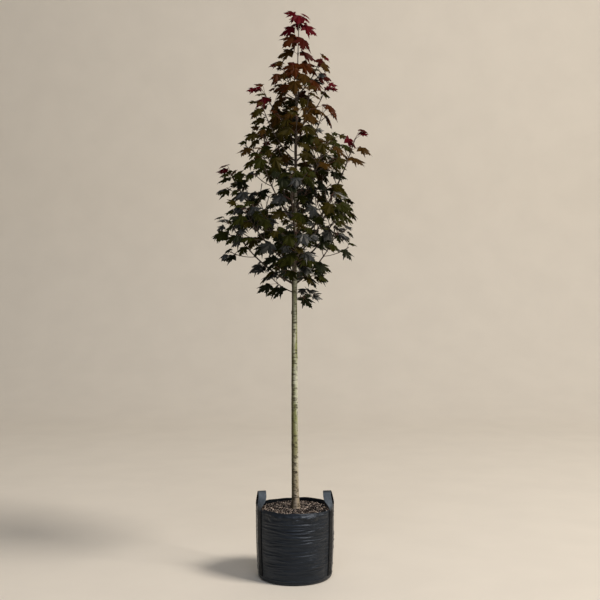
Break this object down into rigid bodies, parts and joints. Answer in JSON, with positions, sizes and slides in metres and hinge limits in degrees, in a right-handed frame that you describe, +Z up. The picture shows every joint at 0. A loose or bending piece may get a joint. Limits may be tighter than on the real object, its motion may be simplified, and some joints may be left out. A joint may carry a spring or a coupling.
{
  "type": "potted norway maple",
  "caption": "Young standard maple with a straight clear trunk and a conical crown of lobed purple-green leaves, standing in a woven planting bag with webbing handles.",
  "frame": {"origin": "centre of the planting bag's flat underside, where it stands on the ground", "axes": "+Z up along the trunk, -Y towards the front, +X to the right of the front"},
  "size_m": [0.8475, 0.7933, 2.8931],
  "materials": {
    "woven_cloth": "satin",
    "webbing": "matte",
    "bark_mulch": "rough",
    "trunk_bark": "smooth bark",
    "twig_bark": "smooth bark",
    "leaf": "satin leaf",
    "young_leaf": "satin leaf"
  },
  "bodies": {
    "root": {"bark_mulch": "bark_mulch", "bough_1_left": "twig_bark", "bough_1_right": "twig_bark", "bough_2_back": "twig_bark", "bough_2_front": "twig_bark", "bough_3_left": "twig_bark", "bough_3_right": "twig_bark", "bough_4_left": "twig_bark", "bough_4_right": "twig_bark", "bough_5_left": "twig_bark", "bough_5_right": "twig_bark", "bough_6_back": "twig_bark", "bough_6_front": "twig_bark", "bough_7_left": "twig_bark", "bough_7_right": "twig_bark", "bough_8_left": "twig_bark", "bough_8_right": "twig_bark", "bough_9_left": "twig_bark", "bough_9_right": "twig_bark", "foliage_10_back": "leaf", "foliage_10_front": "leaf", "foliage_11_left": "leaf", "foliage_11_right": "leaf", "foliage_12_left": "leaf", "foliage_12_right": "leaf", "foliage_13_left": "leaf", "foliage_13_right": "leaf", "foliage_14_back": "leaf", "foliage_14_front": "leaf", "foliage_15_left": "leaf", "foliage_15_right": "leaf", "foliage_1_left": "leaf", "foliage_1_right": "leaf", "foliage_2_back": "leaf", "foliage_2_front": "leaf", "foliage_3_left": "leaf", "foliage_3_right": "leaf", "foliage_4_left": "leaf", "foliage_4_right": "leaf", "foliage_5_left": "leaf", "foliage_5_right": "leaf", "foliage_6_back": "leaf", "foliage_6_front": "leaf", "foliage_7_left": "leaf", "foliage_7_right": "leaf", "foliage_8_left": "leaf", "foliage_8_right": "leaf", "foliage_9_left": "leaf", "foliage_9_right": "leaf", "foliage_leader": "young_leaf", "foliage_sprout_front": "leaf", "foliage_sprout_left": "leaf", "foliage_sprout_right": "leaf", "handle_left": "webbing", "handle_right": "webbing", "planting_bag": "woven_cloth", "trunk": "trunk_bark"}
  },
  "joints": []
}
